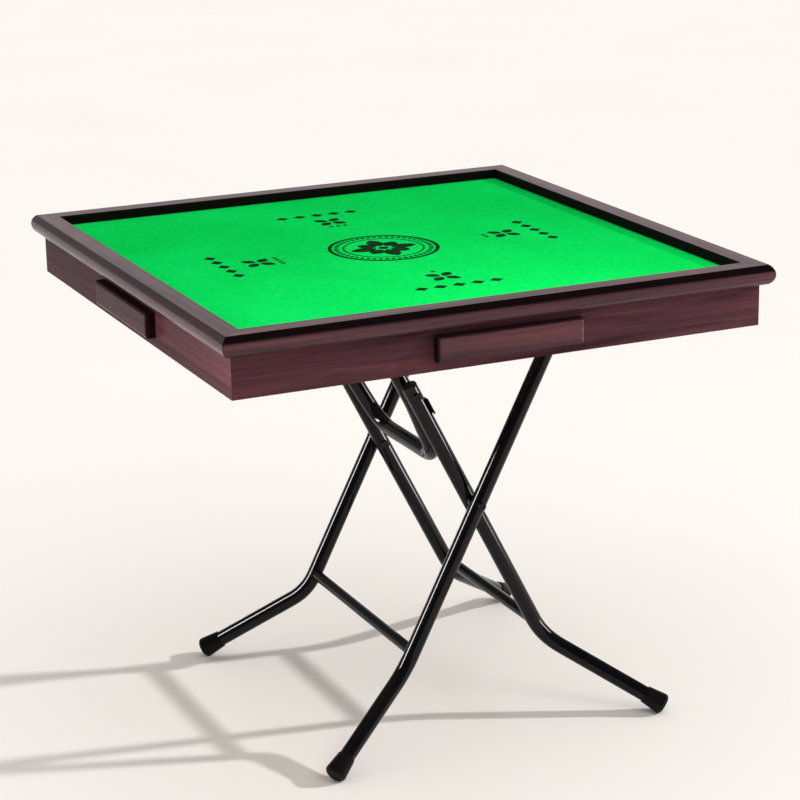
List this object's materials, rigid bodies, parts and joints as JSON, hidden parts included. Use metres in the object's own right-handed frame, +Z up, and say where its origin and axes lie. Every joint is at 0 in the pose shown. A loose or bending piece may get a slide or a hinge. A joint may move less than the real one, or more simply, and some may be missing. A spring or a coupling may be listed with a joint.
{
  "type": "folding games table",
  "caption": "Square folding mahjong table: felted top in a moulded rail, shallow drawers in the apron, and crossed black tube legs that fold up under the top.",
  "frame": {"origin": "on the floor under the middle of the table top", "axes": "+Z up; -Y is the front of the picture, +X its right"},
  "size_m": [0.88, 0.88, 0.765],
  "materials": {
    "lacquered_wood": "dark red-brown satin lacquer",
    "plain_wood": "plain sanded board and plywood",
    "felt": "green brushed felt",
    "black_tube": "gloss black paint",
    "steel": "zinc-plated",
    "rubber": "matt black",
    "black_plastic": "matt black moulding"
  },
  "bodies": {
    "table_top": {"top_board": "plain_wood", "felt_top": "felt", "rail_front": "lacquered_wood", "rail_right": "lacquered_wood", "rail_back": "lacquered_wood", "rail_left": "lacquered_wood", "apron_front": "lacquered_wood", "apron_right": "lacquered_wood", "apron_back": "lacquered_wood", "apron_left": "lacquered_wood", "corner_blocks": "plain_wood", "runner_front_left": "plain_wood", "runner_front_right": "plain_wood", "runner_right_left": "plain_wood", "runner_right_right": "plain_wood", "runner_back_left": "plain_wood", "runner_back_right": "plain_wood", "runner_left_left": "plain_wood", "runner_left_right": "plain_wood", "link_bracket_front": "steel", "link_bracket_back": "steel", "cradle_front": "black_plastic", "cradle_back": "black_plastic", "hinge_pins": "steel"},
    "drawer_front": {"drawer_front_face": "lacquered_wood", "drawer_front_side_left": "plain_wood", "drawer_front_side_right": "plain_wood", "drawer_front_back": "plain_wood", "drawer_front_bottom": "plain_wood"},
    "drawer_right": {"drawer_right_face": "lacquered_wood", "drawer_right_side_left": "plain_wood", "drawer_right_side_right": "plain_wood", "drawer_right_back": "plain_wood", "drawer_right_bottom": "plain_wood"},
    "drawer_back": {"drawer_back_face": "lacquered_wood", "drawer_back_side_left": "plain_wood", "drawer_back_side_right": "plain_wood", "drawer_back_back": "plain_wood", "drawer_back_bottom": "plain_wood"},
    "drawer_left": {"drawer_left_face": "lacquered_wood", "drawer_left_side_left": "plain_wood", "drawer_left_side_right": "plain_wood", "drawer_left_back": "plain_wood", "drawer_left_bottom": "plain_wood"},
    "link": {"link_bow": "black_tube"},
    "inner_frame": {"inner_leg_front": "black_tube", "inner_leg_back": "black_tube", "inner_stretcher": "black_tube", "inner_foot_front": "rubber", "inner_foot_back": "rubber", "inner_leg_plugs": "black_plastic", "knee_plates": "black_tube", "knee_bolts": "black_tube"},
    "outer_frame": {"outer_frame_tube": "black_tube", "outer_stretcher": "black_tube", "outer_foot_front": "rubber", "outer_foot_back": "rubber", "pivot_bolts": "black_tube"}
  },
  "joints": [
    {"name": "drawer_front_slide", "type": "slide", "parent": "table_top", "child": "drawer_front", "axis": [0, -1, 0], "range_m": [0, 0.11]},
    {"name": "drawer_right_slide", "type": "slide", "parent": "table_top", "child": "drawer_right", "axis": [1, 0, 0], "range_m": [0, 0.11]},
    {"name": "drawer_back_slide", "type": "slide", "parent": "table_top", "child": "drawer_back", "axis": [0, 1, 0], "range_m": [0, 0.11]},
    {"name": "drawer_left_slide", "type": "slide", "parent": "table_top", "child": "drawer_left", "axis": [-1, 0, 0], "range_m": [0, 0.11]},
    {"name": "leg_fold", "type": "hinge", "parent": "table_top", "child": "link", "pos_m": [-0.09594, 0, 0.6885], "axis": [0, 1, 0], "range_deg": [0, 100.1]},
    {"name": "inner_frame_turn", "type": "hinge", "parent": "link", "child": "inner_frame", "pos_m": [-0.02762, 0, 0.555], "axis": [0, -1, 0], "range_deg": [0, 155]},
    {"name": "outer_frame_turn", "type": "hinge", "parent": "inner_frame", "child": "outer_frame", "pos_m": [0.065, 0, 0.374], "axis": [0, 1, 0], "range_deg": [0, 109.8]}
  ],
  "couplings": [
    {"joint": "inner_frame_turn", "follows": "leg_fold", "ratio": 1.5484},
    {"joint": "outer_frame_turn", "follows": "leg_fold", "ratio": 1.0968}
  ]
}
